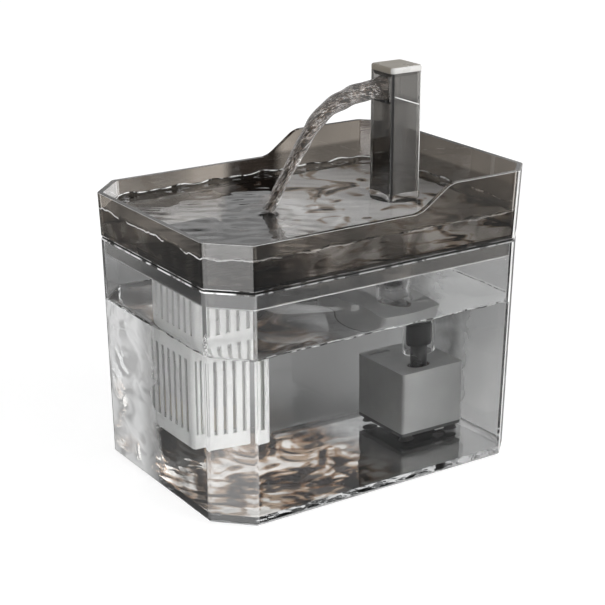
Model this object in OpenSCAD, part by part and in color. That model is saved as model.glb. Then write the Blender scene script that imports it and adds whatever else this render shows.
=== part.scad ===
// Pet water fountain: a clear tank, a smoky drinking tray with a square spout column,
// a hanging filter basket and a submersible pump.
// +X runs towards the spout end, +Z is up, and the origin is on the ground under the centre.

/* [Tank] */
// Length of the tank at its rim
tank_l = 200; // [190:1:230]
// Width of the tank at its rim
tank_w = 150; // [146:1:180]
// Height of the tank's rim
rim_z = 131; // [129:0.5:140]
// Thickness of the tank's and the tray's walls
wall = 3; // [2.4:0.1:3.4]
// Thickness of the tank's floor
tank_floor = 4.5; // [3:0.5:6]
// Chamfer of the upright corners at the drinking end
chamfer_low = 19; // [12:0.5:24]
// Chamfer of the upright corners at the spout end
chamfer_high = 12.6; // [8:0.2:18]
// How much each wall leans in per millimetre of height below the rim
tank_draft = 0.017; // [0:0.001:0.02]

/* [Tray] */
// Height of the tray's rim above the joint at the drinking end
low_wall = 25.3; // [20:0.1:30]
// Height of the tray's rim above the joint at the spout end
high_wall = 39.1; // [34:0.1:50]
// Length of the full-height rim, measured from the tank's end
high_l = 58.6; // [50:0.2:70]
// Length over which the rim climbs
slope_l = 19.8; // [16:0.2:30]
// How much each wall leans out per millimetre of height above the joint
tray_flare = 0.037; // [0.02:0.001:0.05]
// Thickness of the tray's floor
tray_floor = 2.5; // [2:0.1:4]
// Depth of the skirt that reaches into the tank
skirt_h = 10; // [6:0.5:12]

/* [Spout] */
// Distance of the spout's axis from the tank's end
spout_end = 39.5; // [37:0.5:44]
// Width of the square column
column_w = 21.5; // [20:0.5:26]
// Height of the column's top above the ground
spout_top = 220; // [200:1:250]
// Thickness of the column's wall
column_wall = 2.2; // [1.6:0.1:2.4]
// Height of the outlet window
outlet_h = 14; // [8:0.5:18]
// Outer diameter of the riser tube under the column
riser_d = 21; // [20:0.1:22]

/* [Filter] */
// Size of the basket along the tank
cage_x = 35; // [30:1:38]
// Size of the basket across the tank
cage_y = 50; // [44:1:56]
// Height of the basket
cage_h = 90; // [80:1:100]
// Middle of the basket, off the tank's middle line
cage_off_y = -10; // [-14:1:10]
// Distance of the basket's middle from the tank's end
cage_end = 27.5; // [27:0.5:34]
// Spacing of the upright slots
slot_pitch = 6.2; // [5:0.1:8]
// Width of the upright slots
slot_w = 2.6; // [1.5:0.1:3.5]

/* [Pump] */
// Length of the pump box along the tank
pump_x = 43.5; // [43.5:0.5:46]
// Length of the pump box across the tank
pump_y = 67; // [67:1:72]
// Height of the pump box, without its suction cups
pump_h = 39; // [38:0.5:44]
// Height of the suction cups
cup_h = 3.5; // [3.2:0.1:6]
// Outer diameter of the pump's outlet pipe
pipe_d = 11; // [10:0.5:12]
// Number of impeller blades
blades = 6; // [4:1:8]

/* [Hidden] */
$fn = 64;
// Overshoot of cutting tools, so that no skin is left
cut = 1;
// Thickness of the slices that a leaning wall is stretched between
slice = 0.01;
// Gap between pieces that lift apart and only rest on each other
rest_gap = 0.3;
// Gap on each side between pieces that lift out of each other
side_gap = 0.4;
// Radial clearance of running fits
running = 0.05;

// Tank
foot_h = 1;
foot_r = 6;
foot_inset = [22, 20];
floor_z = foot_h + tank_floor;
notch = [8, 6];
notch_end = 26;
notch_x = tank_l / 2 - notch_end;

// Tray
joint_z = rim_z + rest_gap;
tray_z = joint_z + tray_floor;
low_z = joint_z + low_wall;
high_z = joint_z + high_wall;
skirt_t = 2;
skirt_in = wall + side_gap;
skirt_z = joint_z - skirt_h;
slope_r = 12;
arc_steps = 6;
slope_to = tank_l / 2 - high_l;
slope_from = slope_to - slope_l;

// Grommet in the tray's floor
riser_r = riser_d / 2;
riser_wall = 2;
grommet_bore = riser_r + running;
grommet_hole = riser_r + 1.5;
grommet_lip = 2;
grommet_flange = 1.2;

// Spout
spout_x = tank_l / 2 - spout_end;
column_z = tray_z + grommet_flange + rest_gap;
column_r = 2.5;
column_in = column_w - 2 * column_wall;
column_base = 2;
cap_h = 3.5;
cap_plug = 2;
cap_z = spout_top - cap_h;
outlet_w = 15;
outlet_z = cap_z - cap_plug - outlet_h;
duct_r = 7;
duct_wall = 1.5;
duct_in = 10;
duct_z = column_z - duct_in;
shelf_t = 1.5;
lip_t = 1.2;
lip_reach = 2;
lip_in = 3;

// Filter
cage_t = 1.5;
cage_r = 3;
cage_flange = 1.5;
slot_foot = 8;
slot_row_h = 42;
slot_band = 12;
slot_head = 3;
bottom_slot_l = 30;
bottom_pitch = 9;
cage_top = rim_z - 6;
cage_z = cage_top - cage_h;
cage_mid = cage_z + slot_foot + slot_row_h + slot_band / 2;
holder_t = 1.5;
holder_rim = 2;
holder_rim_t = 1.4;
mouth = [cage_x + 2 * cage_flange + 2 * rest_gap, cage_y + 2 * cage_flange + 2 * rest_gap];
well = [mouth.x + 2 * holder_t, mouth.y + 2 * holder_t];
// The basket's middle keeps the well clear of the tray's skirt
cage_at = [max(cage_end, skirt_in + skirt_t + 1 + well.x / 2) - tank_l / 2, cage_off_y];
holder_z = cage_top - cage_flange - rest_gap - holder_t;
cover_top = tray_z + holder_rim_t;
cover_t = 2.5;
cover_slot = [24, 1.6];
pull_r = 4.5;
frame_t = 1.2;
frame_z = cage_z + cage_t + rest_gap;
frame_end = cage_top - 4;
frame_out = [cage_x - 2 * cage_t - 2 * side_gap, cage_y - 2 * cage_t - 2 * side_gap];
frame_in = [frame_out.x - 2 * frame_t, frame_out.y - 2 * frame_t];
frame_r = 2;
frame_rib = 8;
frame_post = 4;
frame_slot = [3, 32];
pull_bar = [6, 3];
window_h = (frame_end - frame_z - 4 * frame_rib) / 2;
frame_mid = frame_z + window_h + 1.5 * frame_rib;
fill_z = frame_z + frame_t;
resin_h = 20;
carbon_h = 32;
cotton_h = 14;

// Pump box
pump_z = floor_z + cup_h;
pump_top = pump_z + pump_h;
pump_wall = 2;
pump_r = 2;
// Room on each side between the motor and the box
motor_gap = 1.5;
axis_x = spout_x + 2;
body_w = 34;
pump_front = 15.5;
motor_side = body_w / 2 + motor_gap + pump_wall;
pump_lo = [axis_x - motor_side, -pump_front];
pump_hi = [max(pump_lo.x + pump_x, axis_x + motor_side), pump_lo.y + pump_y];
pump_size = pump_hi - pump_lo;
pump_room = [pump_size.x - 2 * pump_wall, pump_size.y - 2 * pump_wall];
pump_mid = [(pump_lo.x + pump_hi.x) / 2, (pump_lo.y + pump_hi.y) / 2];
base_t = 2;
base_top = pump_z + base_t;
base_slot = [18, 1.8];
base_pitch = 4.6;
cup_r = 5;
cup_neck_r = 2.6;
cup_skin = 1;
cup_pin_r = 1.5;
cup_inset = 6;
post_h = 5;
post_r = 2;
sponge_t = 4;
recess = [15, 5, 1];
recess_in = [11, 9];
recess_at = [pump_lo.x + recess_in.x, pump_hi.y - recess_in.y];
sponge_rim = 1;

// Motor, whose axis runs along Y
body_z = base_top + post_h;
body_h = 26;
axis_z = body_z + body_h / 2;
body_l = 41;
body_t = 1.5;
post_in = [3.5, 5];
neck_wall = 1.4;
neck_r = pipe_d / 2 + neck_wall;
body_from = neck_r + 0.1;
body_to = body_from + body_l;
well_r = 7;
well_t = 1.5;
well_l = 26;
well_end = body_from + well_l;
// Potting between the core or the coil and what is beside it
core_gap = 0.5;
core_h = 14;
core_in = well_r + well_t + core_gap;
core_out = body_w / 2 - body_t - core_gap;
core_t = core_out - core_in;
core_front = 5;
core_back = 3;
core_from = body_from + core_front;
core_to = body_to - body_t - core_back;
coil_from = well_end + well_t;
coil_to = body_to - body_t;
coil_w = 2 * (core_in - core_gap);
coil_h = body_h - 2 * body_t - 2 * core_gap;
bush_l = 2.4;
shaft_r = 1.15;
bore_r = shaft_r + running;
magnet_r = 6.5;
// Play of the rotor along its shaft
end_play = 0.5;
magnet_in = 3;
magnet_from = body_from + magnet_in;
magnet_to = well_end - bush_l - end_play;

// Volute and impeller
volute_r = 11;
volute_t = 1.5;
volute_front = -9;
flange_t = 1.5;
flange_in = 2;
intake_r = 5.5;
hub_r = 3;
arm_w = 1.6;
front_bush_r = 2;
front_bush_over = 2;
front_bush_to = volute_front + volute_t + front_bush_over;
impeller_r = 9;
impeller_from = front_bush_to + end_play;
blade_gap = 2;
impeller_to = body_from - blade_gap;
blade_t = 1.2;
neck_top = pump_top - pump_wall - 0.1;
neck_seat = axis_z + volute_r + volute_t;

// Outlet pipe
pipe_r = pipe_d / 2;
pipe_wall = 1.5;
riser_gap = 8;
riser_z = pump_top + riser_gap;
pipe_reach = 28;
pipe_top = riser_z + pipe_reach;
seal_r = 1;
coupler_in = 5;
coupler_h = 13;
coupler_lead = [0.8, 1.5];
coupler_from = riser_z + coupler_in;
coupler_to = coupler_from + coupler_h;
coupler_r = riser_r - riser_wall - running;

// Flow slider, drawn in its fully open place
slider_t = 1.5;
slider_y = volute_front - slider_t - rest_gap;
slider_w = 11;
slider_open = 1.2;
slider_h = 14;
slider_x = axis_x + intake_r + slider_open;
slider_travel = 8;
slider_tab = 2;
tab_x = slider_x + 1;
rail_over = 6;
knob = [6, 4.6, 1.6];
rail_t = 1.7;

// Cable gland
gland_at = [pump_hi.x, 38, pump_z + 12];
gland_r = 3.2;
gland_bore = 1.6;
gland_flange = 4.4;
gland_flange_t = 1.2;
gland_step = 0.4;
gland_l = 5;

// Rectangle with rounded corners, centred
module round_rect(size, r) {
    square([size.x - 2 * r, size.y], center = true);
    square([size.x, size.y - 2 * r], center = true);
    for (sx = [-1, 1], sy = [-1, 1])
        translate([sx * (size.x / 2 - r), sy * (size.y / 2 - r)]) circle(r);
}

// Upright rounded block between two heights
module round_block(size, r, z0, z1) {
    translate([0, 0, z0]) linear_extrude(z1 - z0) round_rect(size, r);
}

// Plan outline of tank and tray, moved in by inset
module plan(inset) {
    x = tank_l / 2 - inset;
    y = tank_w / 2 - inset;
    // A moved chamfer keeps its wall thickness, so its legs shorten by this much
    shorter = inset * (2 - sqrt(2));
    low = chamfer_low - shorter;
    high = chamfer_high - shorter;
    polygon([[low - x, -y], [x - high, -y], [x, high - y], [x, y - high],
        [x - high, y], [low - x, y], [-x, y - low], [-x, low - y]]);
}

// Block with leaning walls between two heights, each with its own inset
module leaning_block(z0, inset0, z1, inset1) {
    hull() {
        translate([0, 0, z0]) linear_extrude(slice) plan(inset0);
        translate([0, 0, z1 - slice]) linear_extrude(slice) plan(inset1);
    }
}

// Inset of the tank's outside at height z
function tank_inset(z) = (rim_z - z) * tank_draft;

// Inset of the tray's outside at height z
function tray_inset(z) = (joint_z - z) * tray_flare;

module tank() color([0.82, 0.84, 0.85, 0.35]) difference() {
    leaning_block(foot_h, tank_inset(foot_h), rim_z, 0);
    leaning_block(floor_z, tank_inset(floor_z) + wall, rim_z + cut, wall);
    translate([notch_x, tank_w / 2 - 2 * wall, rim_z - notch.y])
        cube([notch.x, 3 * wall, notch.y + cut]);
}

module tank_feet() color([0.55, 0.56, 0.57]) {
    for (sx = [-1, 1], sy = [-1, 1])
        translate([sx * (tank_l / 2 - foot_inset.x), sy * (tank_w / 2 - foot_inset.y), 0])
            cylinder(r = foot_r, h = foot_h);
}

// Side outline of what is cut away above the rim, with both ends of the slope rounded
module rim_cut() {
    angle = atan2(high_z - low_z, slope_to - slope_from);
    reach = slope_r * tan(angle / 2);
    above = high_z + low_wall;
    polygon(concat(
        [[-tank_l, above], [-tank_l, low_z], [slope_from - reach, low_z]],
        [for (i = [0:arc_steps]) [slope_from - reach + slope_r * sin(angle * i / arc_steps),
            low_z + slope_r * (1 - cos(angle * i / arc_steps))]],
        [for (i = [arc_steps:-1:0]) [slope_to + reach - slope_r * sin(angle * i / arc_steps),
            high_z - slope_r * (1 - cos(angle * i / arc_steps))]],
        [[tank_l, high_z], [tank_l, above]]));
}

module tray() color([0.32, 0.31, 0.30, 0.6]) difference() {
    leaning_block(joint_z, 0, high_z + 2, tray_inset(high_z + 2));
    leaning_block(tray_z, wall + tray_inset(tray_z), high_z + 4, wall + tray_inset(high_z + 4));
    translate([0, tank_w, 0]) rotate([90, 0, 0]) linear_extrude(2 * tank_w) rim_cut();
    translate([spout_x, 0, joint_z - cut]) cylinder(r = grommet_hole, h = tray_floor + 2 * cut);
    translate(cage_at) round_block(well, cage_r, joint_z - cut, tray_z + cut);
}

// Ring bonded under the tray, which reaches into the tank and keeps the tray in place
module tray_skirt() color([0.40, 0.39, 0.38, 0.6]) difference() {
    leaning_block(skirt_z, skirt_in + tank_inset(skirt_z), joint_z, skirt_in);
    leaning_block(skirt_z - cut, skirt_in + skirt_t + tank_inset(skirt_z - cut),
        joint_z + cut, skirt_in + skirt_t);
    translate([notch_x, tank_w / 2 - skirt_in - 2 * skirt_t, skirt_z - cut])
        cube([notch.x, 3 * skirt_t, skirt_h + 2 * cut]);
}

// Rubber ring snapped into the floor, which wipes the riser tube
module tray_grommet() color([0.10, 0.10, 0.10]) translate([spout_x, 0, 0]) difference() {
    union() {
        translate([0, 0, tray_z]) cylinder(r = grommet_hole + grommet_lip, h = grommet_flange);
        translate([0, 0, joint_z]) cylinder(r = grommet_hole, h = tray_floor);
        translate([0, 0, joint_z - grommet_flange])
            cylinder(r = grommet_hole + grommet_lip, h = grommet_flange);
    }
    translate([0, 0, joint_z - grommet_flange - cut])
        cylinder(r = grommet_bore, h = tray_floor + 2 * grommet_flange + 2 * cut);
}

// Upright slots through a basket of the given size, in one row of heights
module slot_row(size, z0, z1, r) {
    count_x = floor((size.x - 2 * r - slot_w) / slot_pitch);
    count_y = floor((size.y - 2 * r - slot_w) / slot_pitch);
    for (i = [0:count_x])
        translate([(i - count_x / 2) * slot_pitch - slot_w / 2, -size.y, z0])
            cube([slot_w, 2 * size.y, z1 - z0]);
    for (i = [0:count_y])
        translate([-size.x, (i - count_y / 2) * slot_pitch - slot_w / 2, z0])
            cube([2 * size.x, slot_w, z1 - z0]);
}

// Dark frame clipped in the tray's floor, whose ledge carries the basket
module filter_holder() color([0.13, 0.12, 0.11]) translate(cage_at) difference() {
    union() {
        round_block(well, cage_r, holder_z, cover_top);
        round_block([well.x + 2 * holder_rim, well.y + 2 * holder_rim], cage_r + holder_rim,
            tray_z, cover_top);
    }
    round_block(mouth, cage_r, holder_z + holder_t, cover_top + cut);
    round_block([cage_x + 2 * rest_gap, cage_y + 2 * rest_gap], cage_r,
        holder_z - cut, holder_z + holder_t + cut);
}

// Level slice of the whole width, between two heights
module level(z0, z1) {
    translate([-tank_l, -tank_w, z0]) cube([2 * tank_l, 2 * tank_w, z1 - z0]);
}

module cage_shape() translate(cage_at) difference() {
    union() {
        round_block([cage_x, cage_y], cage_r, cage_z, cage_top);
        round_block([cage_x + 2 * cage_flange, cage_y + 2 * cage_flange], cage_r,
            cage_top - cage_flange, cage_top);
    }
    round_block([cage_x - 2 * cage_t, cage_y - 2 * cage_t], cage_r - cage_t,
        cage_z + cage_t, cage_top + cut);
    slot_row([cage_x, cage_y], cage_z + slot_foot, cage_z + slot_foot + slot_row_h, cage_r);
    slot_row([cage_x, cage_y], cage_z + slot_foot + slot_row_h + slot_band,
        cage_top - cage_flange - slot_head, cage_r);
    for (i = [-1:1])
        translate([i * bottom_pitch - slot_w / 2, -bottom_slot_l / 2, cage_z - cut])
            cube([slot_w, bottom_slot_l, cage_t + 2 * cut]);
}

// Lower basket
module filter_cage() color([0.93, 0.93, 0.92]) intersection() {
    cage_shape();
    level(cage_z - cut, cage_mid);
}

// Upper basket, snapped on the lower one, with the flange that it hangs by
module cage_collar() color([0.90, 0.90, 0.89]) intersection() {
    cage_shape();
    level(cage_mid, cage_top + cut);
}

// Open cartridge with a pull bar across its top
module frame_shape() translate(cage_at) {
    difference() {
        round_block(frame_out, frame_r, frame_z, frame_end);
        round_block(frame_in, frame_r - frame_t / 2, fill_z, frame_end + cut);
        for (z = [frame_z + frame_rib, frame_z + 2 * frame_rib + window_h]) {
            translate([-frame_in.x / 2 + frame_post, -cage_y, z])
                cube([frame_in.x - 2 * frame_post, 2 * cage_y, window_h]);
            translate([-cage_x, -frame_in.y / 2 + frame_post, z])
                cube([2 * cage_x, frame_in.y - 2 * frame_post, window_h]);
        }
        for (i = [-1:1])
            translate([i * bottom_pitch - frame_slot.x / 2, -frame_slot.y / 2, frame_z - cut])
                cube([frame_slot.x, frame_slot.y, frame_t + 2 * cut]);
    }
    translate([-frame_in.x / 2, -pull_bar.x / 2, frame_end - pull_bar.y])
        cube([frame_in.x, pull_bar.x, pull_bar.y]);
}

module filter_frame() color([0.88, 0.88, 0.86]) intersection() {
    frame_shape();
    level(frame_z - cut, frame_mid);
}

module frame_top() color([0.85, 0.85, 0.83]) intersection() {
    frame_shape();
    level(frame_mid, frame_end + cut);
}

// One layer of the cartridge's filling
module filling(z, h) {
    translate(cage_at) round_block(frame_in, frame_r - frame_t / 2, z, z + h);
}

module filter_resin() color([0.80, 0.68, 0.45]) filling(fill_z, resin_h);

module filter_carbon() color([0.12, 0.12, 0.12]) filling(fill_z + resin_h, carbon_h);

module filter_cotton() color([0.95, 0.95, 0.93])
    filling(fill_z + resin_h + carbon_h, cotton_h);

// Slotted drain cover, which stands on the basket's flange
module filter_cover() color([0.15, 0.14, 0.13]) translate(cage_at) difference() {
    size = [mouth.x - 2 * rest_gap, mouth.y - 2 * rest_gap];
    round_block(size, cage_r, cage_top + rest_gap, cover_top);
    round_block([size.x - 2 * holder_t, size.y - 2 * holder_t], cage_r - holder_t,
        cage_top, cover_top - cover_t);
    for (i = [-3:3])
        translate([-cover_slot.x / 2, i * slot_pitch - cover_slot.y / 2,
            cover_top - cover_t - cut])
            cube([cover_slot.x, cover_slot.y, cover_t + 2 * cut]);
    translate([0, 0, cover_top - cover_t - cut]) cylinder(r = pull_r, h = cover_t + 2 * cut);
}

module spout_column() color([0.36, 0.35, 0.34, 0.7]) translate([spout_x, 0, 0]) difference() {
    round_block([column_w, column_w], column_r, column_z, cap_z);
    round_block([column_in, column_in], column_r - 1.5, column_z + column_base, cap_z + cut);
    translate([0, 0, column_z - cut]) cylinder(r = duct_r, h = column_base + 2 * cut);
    translate([-column_w, -outlet_w / 2, outlet_z]) cube([column_w, outlet_w, outlet_h]);
}

module spout_cap() color([0.55, 0.51, 0.46]) translate([spout_x, 0, 0]) {
    round_block([column_w, column_w], column_r, cap_z, spout_top);
    round_block([column_in - 0.1, column_in - 0.1], column_r - 1.5, cap_z - cap_plug, cap_z);
}

// Inner duct with the level shelf that the water spreads over
module spout_channel() color([0.45, 0.44, 0.43, 0.6]) translate([spout_x, 0, 0]) difference() {
    union() {
        translate([0, 0, duct_z]) cylinder(r = duct_r, h = outlet_z - duct_z);
        round_block([column_in, column_in], column_r - 1.5, outlet_z - shelf_t, outlet_z);
    }
    translate([0, 0, duct_z - cut])
        cylinder(r = duct_r - duct_wall, h = outlet_z - duct_z + 2 * cut);
}

// Dark tongue that throws the water clear of the column
module spout_lip() color([0.08, 0.08, 0.08]) translate([spout_x, 0, outlet_z])
    translate([-column_w / 2 - lip_reach, -outlet_w / 2 + 0.1, 0])
        cube([lip_reach + column_wall + lip_in, outlet_w - 0.2, lip_t]);

// Round clear tube that slides over the pump's coupler
module riser_tube() color([0.75, 0.77, 0.78, 0.4]) translate([spout_x, 0, 0]) difference() {
    translate([0, 0, riser_z]) cylinder(r = riser_r, h = column_z - riser_z);
    translate([0, 0, riser_z - cut])
        cylinder(r = riser_r - riser_wall, h = duct_z - riser_z + cut);
    translate([0, 0, duct_z]) cylinder(r = duct_r, h = column_z - duct_z + cut);
}

// Outer box of the pump, open below, with two rails that guide the flow slider
module pump_housing() color([0.48, 0.48, 0.47]) {
    difference() {
        translate(pump_mid) round_block(pump_size, pump_r, base_top, pump_top);
        translate(pump_mid) round_block(pump_room, pump_r / 2, base_top - cut,
            pump_top - pump_wall);
        translate([spout_x, 0, pump_top - pump_wall - cut])
            cylinder(r = pipe_r + 2 * seal_r, h = pump_wall + 2 * cut);
        translate([recess_at.x, recess_at.y, 0])
            round_block([recess.x, recess.y], recess.y / 2 - 0.1, pump_top - recess.z,
                pump_top + cut);
        translate([gland_at.x - pump_wall - cut, gland_at.y, gland_at.z]) rotate([0, 90, 0])
            cylinder(r = gland_r, h = pump_wall + 2 * cut);
    }
    difference() {
        for (z = [axis_z - slider_h / 2 - rest_gap - rail_t, axis_z + slider_h / 2 + rest_gap])
            translate([tab_x - slider_travel - rail_over, pump_lo.y + pump_wall, z])
                cube([pump_hi.x - pump_wall - tab_x + slider_travel + rail_over,
                    slider_y + slider_t - pump_lo.y - pump_wall, rail_t]);
        tab_slot(base_top, axis_z);
    }
}

// Room for the slider's tab over its whole travel
module tab_slot(z0, z1) {
    translate([tab_x - slider_travel - rest_gap, pump_lo.y + pump_wall - slice, z0])
        cube([slider_tab + slider_travel + 2 * rest_gap,
            slider_y + slider_t + rest_gap - pump_lo.y - pump_wall, z1 - z0]);
}

// Places a child at the four corners of the pump box
module at_pump_corners(inset) {
    for (x = [pump_lo.x + inset, pump_hi.x - inset], y = [pump_lo.y + inset, pump_hi.y - inset])
        translate([x, y, 0]) children();
}

// Places a child at the four posts that carry the motor
module at_posts() {
    for (x = [axis_x - body_w / 2 + post_in.x, axis_x + body_w / 2 - post_in.x],
        y = [body_from + post_in.y, body_to - post_in.y])
        translate([x, y, base_top]) children();
}

module pump_base() color([0.42, 0.42, 0.41]) {
    difference() {
        translate(pump_mid) round_block(pump_size, pump_r, pump_z, base_top);
        at_pump_corners(cup_inset) translate([0, 0, pump_z - cut])
            cylinder(r = cup_pin_r, h = base_t + 2 * cut);
        for (i = [-4:4])
            translate([pump_mid.x - base_slot.x / 2, pump_mid.y + i * base_pitch + 2,
                pump_z - cut])
                cube([base_slot.x, base_slot.y, base_t + 2 * cut]);
        tab_slot(pump_z - cut, base_top + cut);
    }
    at_posts() cylinder(r = post_r, h = post_h);
}

module suction_cups() color([0.09, 0.09, 0.09]) at_pump_corners(cup_inset) difference() {
    union() {
        translate([0, 0, floor_z]) cylinder(r1 = cup_r, r2 = cup_neck_r, h = cup_h);
        translate([0, 0, pump_z]) cylinder(r = cup_pin_r, h = base_t);
    }
    translate([0, 0, floor_z - slice])
        cylinder(r1 = cup_r - cup_skin, r2 = cup_neck_r - 2 * cup_skin, h = cup_h / 2);
}

// Foam sheet between the base's slots and the motor
module intake_sponge() color([0.17, 0.17, 0.17]) difference() {
    translate(pump_mid) round_block(pump_room, pump_r / 2, base_top, base_top + sponge_t);
    at_posts() translate([0, 0, -cut]) cylinder(r = post_r, h = post_h + 2 * cut);
    translate([pump_mid.x - pump_size.x, pump_lo.y, base_top - cut])
        cube([2 * pump_size.x, slider_y + slider_t + sponge_rim - pump_lo.y,
            sponge_t + 2 * cut]);
}

// Shutter in front of the intake, with a thumb knob under the pump
module flow_slider() color([0.75, 0.75, 0.73]) translate([0, slider_y, 0]) {
    translate([slider_x, 0, axis_z - slider_h / 2]) cube([slider_w, slider_t, slider_h]);
    translate([tab_x, 0, pump_z - rest_gap]) cube([slider_tab, slider_t, axis_z - pump_z]);
    translate([tab_x + slider_tab / 2 - knob.x / 2, slider_t / 2 - knob.y / 2,
        pump_z - rest_gap - knob.z]) cube(knob);
}

// Rod along Y on the motor's axis
module axis_rod(r, from, to) {
    translate([axis_x, to, axis_z]) rotate([90, 0, 0]) cylinder(r = r, h = to - from);
}

// Motor block, centred on the motor's axis in X and Z
module axis_box(w, h, from, to) {
    translate([axis_x - w / 2, from, axis_z - h / 2]) cube([w, to - from, h]);
}

module pump_body() color([0.14, 0.14, 0.15]) difference() {
    union() {
        difference() {
            axis_box(body_w, body_h, body_from, body_to);
            axis_box(body_w - 2 * body_t, body_h - 2 * body_t, body_from + body_t,
                body_to - body_t);
        }
        axis_rod(well_r + well_t, body_from + body_t / 2, well_end + well_t);
    }
    axis_rod(well_r, body_from - cut, well_end);
}

module core_shape() {
    difference() {
        axis_box(2 * core_out, core_h, core_from, core_to);
        axis_box(2 * core_in, core_h + 2, core_from - cut, core_to - core_t);
    }
}

module stator_core() color([0.50, 0.51, 0.53]) core_shape();

module stator_coil() color([0.72, 0.40, 0.20]) difference() {
    axis_box(coil_w, coil_h, coil_from, coil_to);
    axis_box(coil_w + 2, core_h, core_to - core_t, core_to);
}

module pump_potting() color([0.20, 0.20, 0.22]) difference() {
    axis_box(body_w - 2 * body_t, body_h - 2 * body_t, body_from + body_t, body_to - body_t);
    core_shape();
    axis_box(coil_w, coil_h, coil_from, coil_to);
    axis_rod(well_r + well_t, body_from, well_end + well_t);
}

// Volute with its intake, the front bearing's spider and the outlet neck
module pump_cover() color([0.16, 0.16, 0.17]) difference() {
    union() {
        axis_rod(volute_r + volute_t, volute_front, body_from);
        axis_box(body_w - flange_in, body_h - flange_in, body_from - flange_t, body_from);
        translate([spout_x, 0, axis_z]) cylinder(r = neck_r, h = neck_top - axis_z);
    }
    difference() {
        axis_rod(volute_r, volute_front + volute_t, body_from + cut);
        axis_rod(hub_r, volute_front, front_bush_to);
    }
    difference() {
        axis_rod(intake_r, volute_front - cut, volute_front + volute_t + cut);
        axis_rod(hub_r, volute_front - 2 * cut, front_bush_to);
        for (a = [90:120:330])
            translate([axis_x, 0, axis_z]) rotate([0, a, 0])
                translate([0, volute_front, -arm_w / 2]) cube([volute_r, volute_t, arm_w]);
    }
    axis_rod(front_bush_r, volute_front - cut, front_bush_to + cut);
    translate([spout_x, 0, axis_z + volute_r / 2])
        cylinder(r = pipe_r - pipe_wall, h = neck_top - axis_z);
    translate([spout_x, 0, neck_seat]) cylinder(r = pipe_r, h = neck_top - neck_seat + cut);
}

module front_bush() color([0.86, 0.84, 0.80]) difference() {
    axis_rod(front_bush_r, volute_front, front_bush_to);
    axis_rod(shaft_r, volute_front - cut, front_bush_to + cut);
}

module rear_bush() color([0.86, 0.84, 0.80]) difference() {
    axis_rod(well_r, well_end - bush_l, well_end);
    axis_rod(shaft_r, well_end - bush_l - cut, well_end + cut);
}

module rotor_shaft() color([0.95, 0.94, 0.92]) axis_rod(shaft_r, volute_front + 0.4, well_end - 0.4);

module impeller() color([0.90, 0.90, 0.88]) difference() {
    union() {
        axis_rod(hub_r, impeller_from, magnet_from);
        intersection() {
            for (i = [0:blades - 1])
                translate([axis_x, 0, axis_z]) rotate([0, i * 360 / blades, 0])
                    translate([0, impeller_from, -blade_t / 2])
                        cube([impeller_r + 1, impeller_to - impeller_from, blade_t]);
            axis_rod(impeller_r, impeller_from - cut, impeller_to + cut);
        }
    }
    axis_rod(bore_r, impeller_from - cut, magnet_from + cut);
}

module rotor_magnet() color([0.22, 0.22, 0.24]) difference() {
    axis_rod(magnet_r, magnet_from, magnet_to);
    axis_rod(bore_r, magnet_from - cut, magnet_to + cut);
}

module outlet_pipe() color([0.06, 0.06, 0.06]) translate([spout_x, 0, 0]) difference() {
    translate([0, 0, neck_seat]) cylinder(r = pipe_r, h = pipe_top - neck_seat);
    translate([0, 0, neck_seat - cut])
        cylinder(r = pipe_r - pipe_wall, h = pipe_top - neck_seat + 2 * cut);
}

module outlet_seal() color([0.30, 0.12, 0.10]) translate([spout_x, 0, pump_top - pump_wall / 2])
    rotate_extrude() translate([pipe_r + seal_r, 0]) circle(seal_r - 0.02, $fn = 24);

// Rubber sleeve on the pipe that the riser tube slides over
module pump_coupler() color([0.08, 0.08, 0.08]) translate([spout_x, 0, 0])
    rotate_extrude() polygon([[pipe_r, coupler_from],
        [coupler_r - coupler_lead.x, coupler_from], [coupler_r, coupler_from + coupler_lead.y],
        [coupler_r, coupler_to - coupler_lead.y], [coupler_r - coupler_lead.x, coupler_to],
        [pipe_r, coupler_to]]);

module cable_gland() color([0.08, 0.08, 0.08]) translate(gland_at) rotate([0, 90, 0])
    difference() {
        union() {
            translate([0, 0, -pump_wall]) cylinder(r = gland_r, h = pump_wall);
            cylinder(r = gland_flange, h = gland_flange_t);
            cylinder(r = gland_r - gland_step, h = gland_l);
        }
        translate([0, 0, -pump_wall - cut])
            cylinder(r = gland_bore, h = pump_wall + gland_l + 2 * cut);
    }

tank();
tank_feet();
tray();
tray_skirt();
tray_grommet();
filter_holder();
filter_cage();
cage_collar();
filter_frame();
frame_top();
filter_cotton();
filter_carbon();
filter_resin();
filter_cover();
spout_column();
spout_cap();
spout_channel();
spout_lip();
riser_tube();
pump_housing();
pump_base();
suction_cups();
intake_sponge();
flow_slider();
pump_body();
stator_core();
stator_coil();
pump_potting();
pump_cover();
front_bush();
rear_bush();
rotor_shaft();
impeller();
rotor_magnet();
outlet_pipe();
outlet_seal();
pump_coupler();
cable_gland();
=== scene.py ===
# Pet water fountain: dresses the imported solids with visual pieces, water, finishes and a studio.
# All sizes are metres in the solids' own frame: +X towards the spout, +Z up, ground at Z = 0.
import math
from contextlib import contextmanager

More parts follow.
